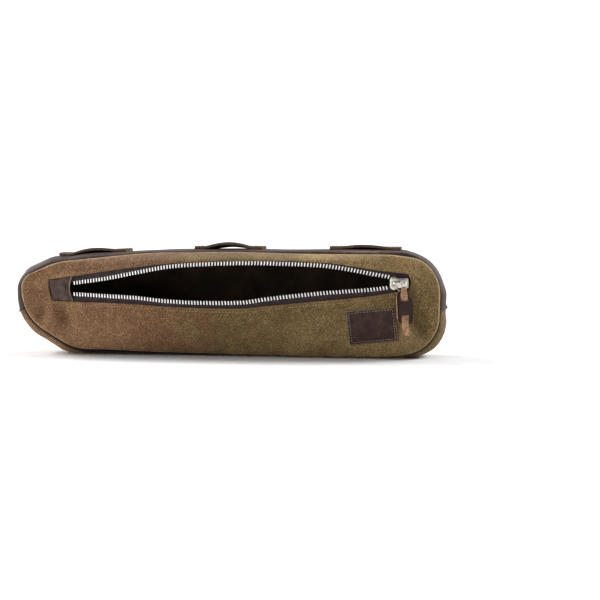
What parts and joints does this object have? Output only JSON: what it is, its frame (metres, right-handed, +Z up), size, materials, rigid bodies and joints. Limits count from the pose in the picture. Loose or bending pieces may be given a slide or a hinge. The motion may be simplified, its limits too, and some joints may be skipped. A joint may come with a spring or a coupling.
{
  "type": "top tube bag",
  "caption": "Long soft zipped pouch of waxed canvas with a leather top and leather strap loops, hung below a bicycle's top tube; shown open and standing on its base.",
  "frame": {"origin": "middle of the flat of the bottom gusset on which the bag stands, halfway between its front and back seams", "axes": "+X along the bag towards the slider, -Y out of the zipped front, +Z up towards the strap loops"},
  "size_m": [0.3447, 0.0695, 0.0903],
  "materials": {
    "canvas": "waxed cotton canvas, brown with an olive cast, mottled and paler along the turned edges",
    "leather": "dark brown oiled leather, smooth grain, raw tan edges and flesh side",
    "zip_tape": "dark brown woven zip tape",
    "zip_metal": "bright nickel-plated zip teeth",
    "nickel": "nickel-plated slider and ring"
  },
  "bodies": {
    "root": {"front_panel": "canvas", "back_panel": "canvas", "top_gusset": "leather", "bottom_gusset": "canvas", "strap_loop_left": "leather", "strap_loop_middle": "leather", "strap_loop_right": "leather", "zip_tape_upper": "zip_tape", "zip_tape_lower": "zip_tape", "zip_teeth_upper": "zip_metal", "zip_teeth_lower": "zip_metal", "zip_slider": "nickel", "zip_pull_ring": "nickel", "zip_pull": "leather", "zip_end_tab": "leather", "label_patch": "leather"}
  },
  "joints": []
}
